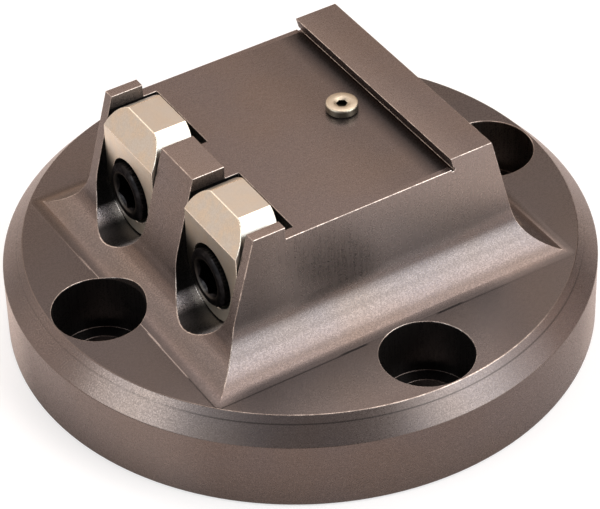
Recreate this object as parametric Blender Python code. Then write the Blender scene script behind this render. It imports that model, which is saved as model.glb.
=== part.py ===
"""Dovetail vise on a round base, as Blender objects in metres with +Z up.

The origin is the centre of the base's underside. +X is the clamping direction,
from the two sliding clamps to the fixed jaw. Left is the +Y side, as seen by
someone who turns the clamp screws and looks along +X.

Run it with: blender --background --python part.py
"""

import math

import bmesh
import bpy
from mathutils import Matrix, Vector

# Clamp screws: 3/8-16 socket head cap screws, 1 in long
HEAD_RADIUS = 0.00714
HEAD_HEIGHT = 0.00953
HEAD_EDGE = 0.00075
SHANK_RADIUS = 0.00476
SHANK_LENGTH = 0.0254
SHANK_TIP = 0.0008
SOCKET_ACROSS_FLATS = 0.00794
SOCKET_DEPTH = 0.0050
SOCKET_MOUTH = 0.00035
SCREW_PITCH = 0.0254 / 16
SCREW_TURNS = 1.5
CLAMP_TRAVEL = SCREW_PITCH * SCREW_TURNS

# Gaps between pieces
SEAT_GAP = 0.0002
HEAD_CLEARANCE = 0.0008
SHANK_CLEARANCE = 0.0004
THREAD_CLEARANCE = 0.0002
INSERT_CLEARANCE = 0.0003
SPRING_CLEARANCE = 0.0003
CLAMP_CLEARANCE = 0.00035
STOP_GAP = 0.00072

# Clamps
CLAMP_WIDTH = 0.0223
CLAMP_SHOULDER_RADIUS = 0.0077
CLAMP_TOP_WIDTH = 0.0117
CLAMP_TOP_LENGTH = 0.0084
CLAMP_SLOPE_RUN = 0.0041
CLAMP_SLOPE_DROP = 0.0065
NOSE_RELIEF = 0.00014
HEAD_STAND_OUT = 0.0015

# Thread inserts and return springs
INSERT_LENGTH = 0.0143
INSERT_RADIUS = 0.0056
TIP_ROOM = 0.0042
SPRING_WIRE = 0.0010
SPRING_RADIUS = 0.0061
SPRING_TURNS = 5.0
SPRING_END_TURNS = 1.0
SPRING_END_PITCH = 0.00108
SPRING_RECESS = 0.0070

# Dovetail seat, fixed jaw and ribs
DOVETAIL_ANGLE = math.radians(15.0)
SEAT_DEPTH = 0.0032
SEAT_LENGTH = 0.0434
JAW_THICKNESS = 0.01115
JAW_GROOVE_LEAD = 0.0003
JAW_GROOVE_DEPTH = 0.0005
JAW_GROOVE_REACH = 0.0004
RIB_LENGTH = 0.00825
MIDDLE_RIB_WIDTH = 0.0138
SIDE_RIB_WIDTH = 0.0028
POCKET_REACH = 0.0036

# Pedestal
END_LEAN = math.radians(15.0)
COVE_RADIUS = 0.0115
POCKET_LIFT = 0.0021
JAW_LIFT = 0.0187

# Base and its bolt holes, for 1/2 in socket head cap screws
RIM_HEIGHT = 0.0175
CHAMFER_HEIGHT = 0.0054
CHAMFER_WIDTH = 0.00485
DECK_MARGIN = 0.0004
FOOT_BREAK = 0.0005
BOLT_HEAD_BORE_RADIUS = 0.0109
BOLT_HOLE_RADIUS = 0.0075
BOLT_SEAT_HEIGHT = 0.0083
BOLT_WALL_ROOM = 0.0101
BOLT_COUNT = 4

# Locating screw: 10-32 low head cap screw
LOCATOR_SETBACK = 0.0079
LOCATOR_HEAD_RADIUS = 0.0038
LOCATOR_HEAD_HEIGHT = 0.0020
LOCATOR_HEAD_EDGE = 0.0002
LOCATOR_SHANK_RADIUS = 0.0024
LOCATOR_SHANK_LENGTH = 0.0095
LOCATOR_SOCKET_ACROSS_FLATS = 0.00238
LOCATOR_SOCKET_DEPTH = 0.0014
LOCATOR_DISH_RADIUS = 0.0020
LOCATOR_DISH_DEPTH = 0.0004
LOCATOR_CLEARANCE = 0.0003
LOCATOR_TIP_ROOM = 0.0012

# Facets of round shapes
BASE_SIDES = 168
HOLE_SIDES = 64
SCREW_SIDES = 48
SMALL_SIDES = 36
ARC_STEPS = 12
WIRE_STEPS = 14
SMOOTH_BELOW = math.radians(32.0)
FLAT_WITHIN = math.radians(0.05)
MERGE_DISTANCE = 0.000002
POLE_MERGE_DISTANCE = 0.0000001
PAST = 0.004

# Places worked out from the sizes above
POCKET_RADIUS = CLAMP_WIDTH / 2 + CLAMP_CLEARANCE
CLAMP_Y = MIDDLE_RIB_WIDTH / 2 + POCKET_RADIUS
TOP_HALF_WIDTH = CLAMP_Y + POCKET_RADIUS + SIDE_RIB_WIDTH
TOP_HALF_LENGTH = (RIB_LENGTH + SEAT_LENGTH + JAW_THICKNESS) / 2
BOLT_CIRCLE_RADIUS = TOP_HALF_WIDTH + BOLT_WALL_ROOM + BOLT_HEAD_BORE_RADIUS
DECK_RADIUS = BOLT_CIRCLE_RADIUS + BOLT_HEAD_BORE_RADIUS + DECK_MARGIN
BASE_RADIUS = DECK_RADIUS + CHAMFER_WIDTH
DECK_Z = RIM_HEIGHT + CHAMFER_HEIGHT
SCREW_Z = DECK_Z + POCKET_LIFT + POCKET_RADIUS
TOP_Z = SCREW_Z + JAW_LIFT
SEAT_Z = TOP_Z - SEAT_DEPTH
RIB_END_X = RIB_LENGTH - TOP_HALF_LENGTH
POCKET_END_X = RIB_END_X + POCKET_REACH
JAW_EDGE_X = TOP_HALF_LENGTH - JAW_THICKNESS
UNDERCUT = SEAT_DEPTH * math.tan(DOVETAIL_ANGLE)
CLAMP_BACK_X = POCKET_END_X - CLAMP_TRAVEL - STOP_GAP
NOSE_X = CLAMP_BACK_X + NOSE_RELIEF + UNDERCUT
RIDGE_X = NOSE_X - CLAMP_TOP_LENGTH
CLAMP_FACE_X = RIDGE_X - CLAMP_SLOPE_RUN
HEAD_FACE_X = CLAMP_FACE_X - HEAD_STAND_OUT
HEAD_SEAT_X = HEAD_FACE_X + HEAD_HEIGHT
RECESS_END_X = POCKET_END_X + SPRING_RECESS
INSERT_X = RECESS_END_X + SEAT_GAP
LOCATOR_X = JAW_EDGE_X - LOCATOR_SETBACK
SIDES = {"left": 1.0, "right": -1.0}


def material(name, colour, roughness, metallic):
    """A Principled BSDF with one colour, roughness and metallic value."""
    made = bpy.data.materials.new(name)
    made.use_nodes = True
    shader = made.node_tree.nodes["Principled BSDF"]
    shader.inputs["Base Color"].default_value = (*colour, 1.0)
    shader.inputs["Roughness"].default_value = roughness
    shader.inputs["Metallic"].default_value = metallic
    return made


def object_from(name, shape):
    """Puts a bmesh into a new object with its faces turned outwards."""
    bmesh.ops.recalc_face_normals(shape, faces=shape.faces)
    mesh = bpy.data.meshes.new(name)
    shape.to_mesh(mesh)
    shape.free()
    made = bpy.data.objects.new(name, mesh)
    bpy.context.scene.collection.objects.link(made)
    return made


def prism(name, outline, axis, low, high):
    """Extrudes an outline along axis "X" or "Y" from low to high.

    The outline's points are (y, z) for X and (x, z) for Y.
    """
    place = {"X": lambda a, b, at: (at, a, b), "Y": lambda a, b, at: (a, at, b)}[axis]
    shape = bmesh.new()
    face = shape.faces.new([shape.verts.new(place(a, b, low)) for a, b in outline])
    grown = bmesh.ops.extrude_face_region(shape, geom=[face])["geom"]
    moved = [item for item in grown if isinstance(item, bmesh.types.BMVert)]
    bmesh.ops.translate(shape, verts=moved, vec=Vector(place(0.0, 0.0, high - low)))
    return object_from(name, shape)


def turned(name, profile, sides, along="Z"):
    """Spins a profile of (radius, height) points round Z, or round X if asked.

    The profile starts and ends on the axis.
    """
    shape = bmesh.new()
    verts = [shape.verts.new((radius, 0.0, height)) for radius, height in profile]
    edges = [shape.edges.new(pair) for pair in zip(verts, verts[1:])]
    bmesh.ops.spin(
        shape, geom=verts + edges, cent=(0, 0, 0), axis=(0, 0, 1),
        angle=2 * math.pi, steps=sides, use_merge=True,
    )
    bmesh.ops.remove_doubles(shape, verts=shape.verts, dist=POLE_MERGE_DISTANCE)
    if along == "X":
        bmesh.ops.rotate(shape, verts=shape.verts, matrix=Matrix.Rotation(math.pi / 2, 3, "Y"))
    return object_from(name, shape)


def tube(name, profile, sides, along="X"):
    """Spins a closed profile that stays clear of the axis."""
    return turned(name, [*profile, profile[0]], sides, along)


def hexagon(name, across_flats, mouth_z, depth, along="Z"):
    """A hexagonal cutter from above mouth_z down to depth below it."""
    shape = bmesh.new()
    corner = across_flats / math.sqrt(3)
    bmesh.ops.create_cone(
        shape, cap_ends=True, segments=6, radius1=corner, radius2=corner, depth=depth + PAST,
    )
    bmesh.ops.translate(shape, verts=shape.verts, vec=(0, 0, mouth_z + (PAST - depth) / 2))
    if along == "X":
        bmesh.ops.rotate(shape, verts=shape.verts, matrix=Matrix.Rotation(-math.pi / 2, 3, "Y"))
    return object_from(name, shape)


def combine(target, tool, operation):
    """Applies one exact boolean to the target's mesh and removes the tool."""
    step = target.modifiers.new(operation.title(), "BOOLEAN")
    step.operation = operation
    step.solver = "EXACT"
    step.object = tool
    bpy.context.view_layer.update()
    evaluated = target.evaluated_get(bpy.context.evaluated_depsgraph_get())
    shape = bmesh.new()
    shape.from_mesh(evaluated.to_mesh())
    target.modifiers.remove(step)
    bmesh.ops.remove_doubles(shape, verts=shape.verts, dist=MERGE_DISTANCE)
    bmesh.ops.dissolve_limit(
        shape, angle_limit=FLAT_WITHIN, verts=shape.verts, edges=shape.edges, delimit={"NORMAL"},
    )
    bmesh.ops.triangulate(shape, faces=shape.faces)
    shape.to_mesh(target.data)
    shape.free()
    bpy.data.objects.remove(tool)


def finish(piece, name, look):
    """Names a piece, gives it its material and shades its round faces smooth."""
    piece.name = name
    piece.data.name = name
    piece.data.materials.clear()
    piece.data.materials.append(look)
    piece.data.shade_smooth()
    piece.data.set_sharp_from_angle(angle=SMOOTH_BELOW)
    return piece


def copies(piece, x):
    """Makes a left and a right object from one piece, on the clamp screws' axes at x."""
    for side, sign in SIDES.items():
        copy = bpy.data.objects.new(f"{piece.data.name}_{side}", piece.data)
        copy.location = (x, sign * CLAMP_Y, SCREW_Z)
        bpy.context.scene.collection.objects.link(copy)
    bpy.data.objects.remove(piece)


def arc(centre, radius, start, end, steps):
    """Points on an arc, from start to end in radians."""
    turn = (end - start) / steps
    angles = [start + turn * step for step in range(steps + 1)]
    return [(centre[0] + radius * math.cos(a), centre[1] + radius * math.sin(a)) for a in angles]


def base_envelope():
    """The turned outline of the base, carried straight up past the pedestal's top."""
    profile = [
        (0.0, 0.0),
        (BASE_RADIUS - FOOT_BREAK, 0.0),
        (BASE_RADIUS, FOOT_BREAK),
        (BASE_RADIUS, RIM_HEIGHT),
        (DECK_RADIUS, DECK_Z),
        (DECK_RADIUS, TOP_Z + PAST),
        (0.0, TOP_Z + PAST),
    ]
    return turned("base_envelope", profile, BASE_SIDES)


def pedestal_extents(z):
    """Half length and half width of the pedestal at height z.

    The ends lean by END_LEAN and the sides are upright, and both run into a
    cove of COVE_RADIUS that ends level with the deck.
    """
    centre_z = DECK_Z + COVE_RADIUS
    lean_end_z = centre_z - COVE_RADIUS * math.sin(END_LEAN)
    lean_end_x = TOP_HALF_LENGTH + (TOP_Z - lean_end_z) * math.tan(END_LEAN)
    drop = math.sqrt(max(COVE_RADIUS**2 - min(centre_z - z, COVE_RADIUS) ** 2, 0.0))
    half_width = TOP_HALF_WIDTH
    half_length = TOP_HALF_LENGTH + (TOP_Z - z) * math.tan(END_LEAN)
    if z < centre_z:
        half_width = TOP_HALF_WIDTH + COVE_RADIUS - drop
    if z < lean_end_z:
        half_length = lean_end_x + COVE_RADIUS * math.cos(END_LEAN) - drop
    return half_length, half_width


def pedestal_on_slab():
    """The pedestal with its coves, standing on a slab wider than the base."""
    coves = arc((0.0, DECK_Z + COVE_RADIUS), COVE_RADIUS, 0.0, -math.pi / 2, ARC_STEPS)
    heights = [TOP_Z] + [z for _, z in coves[:-1]] + [DECK_Z]
    levels = [(*pedestal_extents(z), z) for z in heights]
    slab = BASE_RADIUS + PAST
    levels += [(slab, slab, DECK_Z), (slab, slab, -PAST)]
    shape = bmesh.new()
    rings = []
    for length, width, z in levels:
        corners = ((length, width), (-length, width), (-length, -width), (length, -width))
        rings.append([shape.verts.new((x, y, z)) for x, y in corners])
    for upper, lower in zip(rings, rings[1:]):
        for here, after in zip(range(4), (1, 2, 3, 0)):
            shape.faces.new((upper[here], upper[after], lower[after], lower[here]))
    shape.faces.new(rings[0])
    shape.faces.new(rings[-1])
    return object_from("pedestal_on_slab", shape)


def seat_cutter():
    """The dovetail seat: flat floor, relief groove and undercut jaw face."""
    groove_start = JAW_EDGE_X + JAW_GROOVE_LEAD
    groove_end = JAW_EDGE_X + UNDERCUT + JAW_GROOVE_REACH
    groove_top = SEAT_Z + JAW_GROOVE_REACH
    jaw_foot = JAW_EDGE_X + (TOP_Z - groove_top) * math.tan(DOVETAIL_ANGLE)
    outline = [
        (RIB_END_X, SEAT_Z),
        (groove_start, SEAT_Z),
        (groove_start, SEAT_Z - JAW_GROOVE_DEPTH),
        (groove_end, SEAT_Z - JAW_GROOVE_DEPTH),
        (groove_end, groove_top),
        (jaw_foot, groove_top),
        (JAW_EDGE_X, TOP_Z),
        (JAW_EDGE_X, TOP_Z + PAST),
        (RIB_END_X, TOP_Z + PAST),
    ]
    reach = TOP_HALF_WIDTH + PAST
    return prism("seat_cutter", outline, "Y", -reach, reach)


def pocket_cutter(centre_y):
    """A round-bottomed pocket, open to -X and to the top, for one clamp."""
    outline = arc((centre_y, SCREW_Z), POCKET_RADIUS, math.pi, 2 * math.pi, 2 * ARC_STEPS)
    outline += [(centre_y + POCKET_RADIUS, TOP_Z + PAST), (centre_y - POCKET_RADIUS, TOP_Z + PAST)]
    return prism("pocket_cutter", outline, "X", -BASE_RADIUS, POCKET_END_X)


def bolt_holes_cutter():
    """All counterbored bolt holes on the bolt circle, open upwards, as one cutter."""
    profile = [
        (0.0, -PAST),
        (BOLT_HOLE_RADIUS, -PAST),
        (BOLT_HOLE_RADIUS, BOLT_SEAT_HEIGHT),
        (BOLT_HEAD_BORE_RADIUS, BOLT_SEAT_HEIGHT),
        (BOLT_HEAD_BORE_RADIUS, TOP_Z + PAST),
        (0.0, TOP_Z + PAST),
    ]
    cutter = turned("bolt_holes_cutter", profile, HOLE_SIDES)
    shape = bmesh.new()
    for step in range(BOLT_COUNT):
        shape.from_mesh(cutter.data)
        fresh = shape.verts[-len(cutter.data.vertices):]
        bmesh.ops.translate(shape, verts=fresh, vec=(BOLT_CIRCLE_RADIUS, 0.0, 0.0))
        turn = Matrix.Rotation(2 * math.pi * step / BOLT_COUNT, 3, "Z")
        bmesh.ops.rotate(shape, verts=fresh, matrix=turn)
    shape.to_mesh(cutter.data)
    shape.free()
    return cutter


def thread_cutter(centre_y):
    """The spring recess, insert hole and tip hole behind one clamp."""
    recess = SPRING_RADIUS + SPRING_WIRE / 2 + SPRING_CLEARANCE
    insert_end = INSERT_X + INSERT_LENGTH + SEAT_GAP
    tip_end = HEAD_SEAT_X + SHANK_LENGTH + CLAMP_TRAVEL + TIP_ROOM
    profile = [
        (0.0, POCKET_END_X - SEAT_GAP),
        (recess, POCKET_END_X - SEAT_GAP),
        (recess, RECESS_END_X),
        (INSERT_RADIUS + INSERT_CLEARANCE, RECESS_END_X),
        (INSERT_RADIUS + INSERT_CLEARANCE, insert_end),
        (SHANK_RADIUS + THREAD_CLEARANCE, insert_end),
        (SHANK_RADIUS + THREAD_CLEARANCE, max(tip_end, insert_end + TIP_ROOM)),
        (0.0, max(tip_end, insert_end + TIP_ROOM)),
    ]
    cutter = turned("thread_cutter", profile, HOLE_SIDES, "X")
    cutter.location = (0.0, centre_y, SCREW_Z)
    return cutter


def locator_cutter():
    """The tapped hole of the locating screw."""
    radius = LOCATOR_SHANK_RADIUS + LOCATOR_CLEARANCE
    bottom = SEAT_Z - LOCATOR_SHANK_LENGTH - LOCATOR_TIP_ROOM
    profile = [(0.0, bottom), (radius, bottom), (radius, TOP_Z), (0.0, TOP_Z)]
    cutter = turned("locator_cutter", profile, SMALL_SIDES)
    cutter.location = (LOCATOR_X, 0.0, 0.0)
    return cutter


def vise_body(look):
    """Base, pedestal, fixed jaw and ribs, milled from one billet."""
    body = base_envelope()
    combine(body, pedestal_on_slab(), "INTERSECT")
    combine(body, bolt_holes_cutter(), "DIFFERENCE")
    combine(body, seat_cutter(), "DIFFERENCE")
    for sign in SIDES.values():
        combine(body, pocket_cutter(sign * CLAMP_Y), "DIFFERENCE")
        combine(body, thread_cutter(sign * CLAMP_Y), "DIFFERENCE")
    combine(body, locator_cutter(), "DIFFERENCE")
    return finish(body, "vise_body", look)


def clamp_outline():
    """The clamp seen along its screw: round foot, straight sides, round shoulders."""
    half = CLAMP_WIDTH / 2
    top = TOP_Z - SCREW_Z
    centre_y = half - CLAMP_SHOULDER_RADIUS
    start = math.asin(max(CLAMP_TOP_WIDTH / 2 - centre_y, 0.0) / CLAMP_SHOULDER_RADIUS)
    centre_z = top - CLAMP_SHOULDER_RADIUS * math.cos(start)
    foot = arc((0.0, 0.0), half, math.pi, 2 * math.pi, 2 * ARC_STEPS)
    right = arc((centre_y, centre_z), CLAMP_SHOULDER_RADIUS, 0.0, math.pi / 2 - start, ARC_STEPS)
    left = [(-y, z) for y, z in reversed(right)]
    return foot + right + left


def clamp(look):
    """One sliding clamp, made round its screw's axis with its face at X = 0."""
    back = CLAMP_BACK_X - CLAMP_FACE_X
    nose = NOSE_X - CLAMP_FACE_X
    top = TOP_Z - SCREW_Z
    seat = SEAT_Z - SCREW_Z
    low = -CLAMP_WIDTH
    outline = [
        (0.0, low),
        (0.0, top - CLAMP_SLOPE_DROP),
        (CLAMP_SLOPE_RUN, top),
        (CLAMP_SLOPE_RUN, top + PAST),
        (nose, top + PAST),
        (nose, top),
        (nose - UNDERCUT, seat),
        (back, seat),
        (back, low),
    ]
    made = prism("clamp", clamp_outline(), "X", -PAST, nose + PAST)
    combine(made, prism("clamp_profile", outline, "Y", -CLAMP_WIDTH, CLAMP_WIDTH), "INTERSECT")
    bore = HEAD_RADIUS + HEAD_CLEARANCE
    hole = SHANK_RADIUS + SHANK_CLEARANCE
    floor = HEAD_SEAT_X + SEAT_GAP - CLAMP_FACE_X
    profile = [
        (0.0, -PAST),
        (bore, -PAST),
        (bore, floor),
        (hole, floor),
        (hole, nose + PAST),
        (0.0, nose + PAST),
    ]
    combine(made, turned("clamp_bore", profile, HOLE_SIDES, "X"), "DIFFERENCE")
    copies(finish(made, "clamp", look), CLAMP_FACE_X)


def clamp_screw(look):
    """One socket head cap screw along +X, with its head's seat at X = 0."""
    profile = [
        (0.0, -HEAD_HEIGHT),
        (HEAD_RADIUS - HEAD_EDGE, -HEAD_HEIGHT),
        (HEAD_RADIUS, -HEAD_HEIGHT + HEAD_EDGE),
        (HEAD_RADIUS, 0.0),
        (SHANK_RADIUS, 0.0),
        (SHANK_RADIUS, SHANK_LENGTH - SHANK_TIP),
        (SHANK_RADIUS - SHANK_TIP, SHANK_LENGTH),
        (0.0, SHANK_LENGTH),
    ]
    made = turned("clamp_screw", profile, SCREW_SIDES, "X")
    socket = hexagon("socket", SOCKET_ACROSS_FLATS, HEAD_HEIGHT, SOCKET_DEPTH, "X")
    combine(made, socket, "DIFFERENCE")
    mouth = SOCKET_ACROSS_FLATS / math.sqrt(3) + SOCKET_MOUTH
    cone = [
        (0.0, -HEAD_HEIGHT - PAST),
        (mouth + PAST, -HEAD_HEIGHT - PAST),
        (0.0, mouth - HEAD_HEIGHT),
    ]
    combine(made, turned("socket_mouth", cone, SCREW_SIDES, "X"), "DIFFERENCE")
    copies(finish(made, "clamp_screw", look), HEAD_SEAT_X)


def thread_insert(look):
    """One steel thread insert along +X from X = 0."""
    inner = SHANK_RADIUS + THREAD_CLEARANCE
    profile = [
        (inner, 0.0),
        (INSERT_RADIUS, 0.0),
        (INSERT_RADIUS, INSERT_LENGTH),
        (inner, INSERT_LENGTH),
    ]
    made = tube("thread_insert", profile, SCREW_SIDES)
    copies(finish(made, "thread_insert", look), INSERT_X)


def spring_height(turn, length):
    """Height along a spring of closed end turns and evenly open middle turns."""
    closed = SPRING_END_TURNS * SPRING_END_PITCH
    open_pitch = (length - 2 * closed) / (SPRING_TURNS - 2 * SPRING_END_TURNS)
    if turn < SPRING_END_TURNS:
        return turn * SPRING_END_PITCH
    if turn > SPRING_TURNS - SPRING_END_TURNS:
        return length - (SPRING_TURNS - turn) * SPRING_END_PITCH
    return closed + (turn - SPRING_END_TURNS) * open_pitch


def return_spring(look):
    """One open coil spring along +X, between a clamp's back and its recess."""
    start = CLAMP_BACK_X + SPRING_CLEARANCE + SPRING_WIRE / 2
    length = RECESS_END_X - SPRING_CLEARANCE - SPRING_WIRE / 2 - start
    count = round(SPRING_TURNS * WIRE_STEPS)
    curve = bpy.data.curves.new("clamp_spring", "CURVE")
    curve.dimensions = "3D"
    curve.bevel_depth = SPRING_WIRE / 2
    curve.bevel_resolution = 2
    curve.use_fill_caps = True
    spline = curve.splines.new("POLY")
    spline.points.add(count)
    for step, point in enumerate(spline.points):
        turn = SPRING_TURNS * step / count
        angle = 2 * math.pi * turn
        height = spring_height(turn, length)
        point.co = (height, SPRING_RADIUS * math.cos(angle), SPRING_RADIUS * math.sin(angle), 1.0)
    curve.materials.append(look)
    for side, sign in SIDES.items():
        coil = bpy.data.objects.new(f"clamp_spring_{side}", curve)
        coil.location = (start, sign * CLAMP_Y, SCREW_Z)
        bpy.context.scene.collection.objects.link(coil)


def locating_screw(look):
    """The low head screw in the seat's floor, with its head's seat at Z = 0."""
    profile = [
        (0.0, -LOCATOR_SHANK_LENGTH),
        (LOCATOR_SHANK_RADIUS, -LOCATOR_SHANK_LENGTH),
        (LOCATOR_SHANK_RADIUS, 0.0),
        (LOCATOR_HEAD_RADIUS, 0.0),
        (LOCATOR_HEAD_RADIUS, LOCATOR_HEAD_HEIGHT - LOCATOR_HEAD_EDGE),
        (LOCATOR_HEAD_RADIUS - LOCATOR_HEAD_EDGE, LOCATOR_HEAD_HEIGHT),
        (0.0, LOCATOR_HEAD_HEIGHT),
    ]
    made = turned("locating_screw", profile, SMALL_SIDES)
    top = LOCATOR_HEAD_HEIGHT
    socket = hexagon("locator_socket", LOCATOR_SOCKET_ACROSS_FLATS, top, LOCATOR_SOCKET_DEPTH)
    combine(made, socket, "DIFFERENCE")
    slope = LOCATOR_DISH_DEPTH / (LOCATOR_DISH_RADIUS - LOCATOR_SOCKET_ACROSS_FLATS / 2)
    dish = [
        (0.0, top - LOCATOR_DISH_RADIUS * slope),
        (LOCATOR_DISH_RADIUS + PAST, top + PAST * slope),
        (0.0, top + PAST * slope),
    ]
    combine(made, turned("locator_dish", dish, SMALL_SIDES), "DIFFERENCE")
    finish(made, "locating_screw", look)
    made.location = (LOCATOR_X, 0.0, SEAT_Z + SEAT_GAP)


def main():
    for old in list(bpy.data.objects):
        bpy.data.objects.remove(old)
    vise_body(material("anodised_aluminium", (0.17, 0.13, 0.115), 0.45, 0.6))
    clamp(material("nickel_plated_steel", (0.66, 0.60, 0.52), 0.35, 0.9))
    clamp_screw(material("black_oxide_steel", (0.02, 0.02, 0.02), 0.4, 0.7))
    thread_insert(material("insert_steel", (0.55, 0.55, 0.55), 0.35, 1.0))
    return_spring(material("spring_steel", (0.4, 0.4, 0.42), 0.3, 1.0))
    locating_screw(material("stainless_steel", (0.72, 0.68, 0.6), 0.3, 1.0))


main()
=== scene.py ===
"""Looks of a round-base dovetail vise, in metres, in the packed model's frame.

+Z is up and +X runs from the two sliding clamps to the fixed jaw. The file is laid out as an
add-on: each operator makes one piece or one group of like pieces, and main() calls them in order.
"""

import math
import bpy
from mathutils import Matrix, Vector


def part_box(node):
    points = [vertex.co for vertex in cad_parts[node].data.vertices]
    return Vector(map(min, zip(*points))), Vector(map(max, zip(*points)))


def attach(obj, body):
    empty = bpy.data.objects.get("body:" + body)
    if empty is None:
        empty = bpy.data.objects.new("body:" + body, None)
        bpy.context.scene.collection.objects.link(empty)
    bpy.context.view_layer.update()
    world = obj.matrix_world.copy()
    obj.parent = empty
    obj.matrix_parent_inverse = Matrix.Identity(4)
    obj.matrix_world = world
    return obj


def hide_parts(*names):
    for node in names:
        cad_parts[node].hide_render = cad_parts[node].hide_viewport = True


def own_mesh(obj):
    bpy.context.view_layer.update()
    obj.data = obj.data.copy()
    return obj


bl_info = {
    "name": "Dovetail Vise Looks",
    "version": (1, 0, 0),
    "blender": (4, 5, 0),
    "location": "3D View > Sidebar > Vise",
    "description": "Machined, plated and blackened surfaces for a dovetail vise",
    "category": "Object",
}

import bmesh
import bpy
import numpy as np
from bpy.props import FloatProperty, FloatVectorProperty, IntProperty, PointerProperty
from mathutils import Matrix, Vector

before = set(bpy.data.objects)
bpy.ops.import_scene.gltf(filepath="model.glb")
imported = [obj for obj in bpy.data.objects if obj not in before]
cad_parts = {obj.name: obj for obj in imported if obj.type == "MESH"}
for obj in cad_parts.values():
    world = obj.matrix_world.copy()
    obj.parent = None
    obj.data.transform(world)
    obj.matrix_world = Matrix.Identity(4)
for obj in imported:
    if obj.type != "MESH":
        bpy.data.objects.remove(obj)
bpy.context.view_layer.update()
SIDES = ("left", "right")

BODY_LOW, BODY_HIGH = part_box("vise_body")
SCREW_LOW, SCREW_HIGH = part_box("clamp_screw_left")
SCREW_AXIS = (SCREW_LOW + SCREW_HIGH) / 2
BASE_RADIUS = (BODY_HIGH.x - BODY_LOW.x) / 2
# A length too small to see
HAIR = 0.00005

# A thread's depth in pitches, its rows in a pitch, and the share of a size that closes a tip
THREAD_DEPTH = 0.6134
THREAD_ROWS = 8
TIP = 0.0005


# Properties


def length(name, description, default):
    """A length in metres, shown to a hundredth of a millimetre."""
    return FloatProperty(
        name=name, description=description, default=default, min=0.0, precision=5,
        subtype="DISTANCE", unit="LENGTH",
    )


def share(name, description, default):
    """A number from 0 to 1."""
    return FloatProperty(
        name=name, description=description, default=default, min=0.0, max=1.0, subtype="FACTOR",
    )


def angle(name, description, degrees):
    """An angle, given here in degrees."""
    return FloatProperty(name=name, description=description, default=math.radians(degrees), subtype="ANGLE")


def colour(name, description, default):
    """A linear colour."""
    return FloatVectorProperty(
        name=name, description=description, default=default, size=3, min=0.0, max=1.0,
        subtype="COLOR",
    )


class ViseBodySettings(bpy.types.PropertyGroup):
    """Finish of the milled body."""

    colour: colour("Anodising", "Colour of the anodised faces", (0.150, 0.126, 0.115))
    # Colour of the bright edges: thin anodising, and painted highlight where the edges are picked by place
    edge_colour: colour("Edges", "Colour where the anodising is thin, on edges", (0.60, 0.54, 0.49))
    roughness: share("Roughness", "Roughness of the anodised faces", 0.24)
    edge_width: length("Edge Break", "Width of the broken edges", 0.00015)
    chamfer_line_radius: length(
        "Chamfer Line", "Radius of the fine turned line in the base's chamfer", BASE_RADIUS * 0.95
    )
    deck_height: length("Deck", "Height of the base's level top", 0.0229)
    bolt_circle: length("Bolt Circle", "Radius of the circle of bolt holes", 0.0537)
    bore_radius: length("Counterbore", "Radius of the bolt holes' counterbores", 0.0109)
    jaw_edge: length("Jaw", "Distance of the jaw's lip from the middle, along X", 0.02025)
    seat_depth: length("Seat Depth", "Depth of the dovetail seat", 0.0032)
    pocket_centre: length("Pocket", "Distance of a pocket's axis from the middle", 0.0184)
    pocket_radius: length("Pocket Radius", "Radius of a pocket's round bottom", 0.0115)
    pocket_height: length("Pocket Height", "Height of a pocket's axis", 0.0365)


class ClampSettings(bpy.types.PropertyGroup):
    """Finish of the sliding clamps."""

    colour: colour("Plating", "Colour of the nickel plating", (0.74, 0.725, 0.635))
    roughness: share("Roughness", "Roughness of the plated faces", 0.30)
    edge_width: length("Edge Break", "Width of the broken edges", 0.00016)


class ClampScrewSettings(bpy.types.PropertyGroup):
    """Sizes and finish of the clamp screws."""

    head_radius: length("Head Radius", "Outer radius of the head", (SCREW_HIGH.y - SCREW_LOW.y) / 2)
    head_height: length("Head Height", "Height of the head", 0.00953)
    head_edge: length("Head Edge", "Width of the chamfer round the head's face", 0.00075)
    shank_radius: length("Shank Radius", "Outer radius of the thread", 0.00476)
    pitch: length("Pitch", "Distance between the thread's turns", 0.0254 / 16)
    socket_across_flats: length("Socket", "Size of the hex socket across its flats", 0.00794)
    socket_depth: length("Socket Depth", "Depth of the hex socket", 0.0050)
    socket_mouth: length("Socket Mouth", "Width of the cone at the socket's corners", 0.00035)
    knurls: IntProperty(name="Knurls", description="Teeth round the head", default=48, min=12)
    knurl_depth: length("Knurl Depth", "Depth of the teeth round the head", 0.00016)
    colour: colour("Black Oxide", "Colour of the blackened steel", (0.014, 0.014, 0.015))
    roughness: share("Roughness", "Roughness of the blackened steel", 0.34)


class HiddenSteelSettings(bpy.types.PropertyGroup):
    """Sizes and finish of the return springs and thread inserts."""

    wire_radius: length("Wire Radius", "Radius of the spring's wire", 0.0005)
    turns: IntProperty(name="Turns", description="Turns of the spring, ends included", default=5, min=3)
    end_pitch: length("End Pitch", "Pitch of the closed turns at each end", 0.00108)
    bore_radius: length("Insert Bore", "Inner radius of the thread insert", 0.00496)
    insert_pitch: length("Insert Pitch", "Pitch of the insert's outer thread", 0.00127)
    spring_colour: colour("Wire", "Colour of the drawn wire", (0.42, 0.42, 0.44))
    insert_colour: colour("Insert", "Colour of the turned insert", (0.56, 0.55, 0.53))


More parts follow.
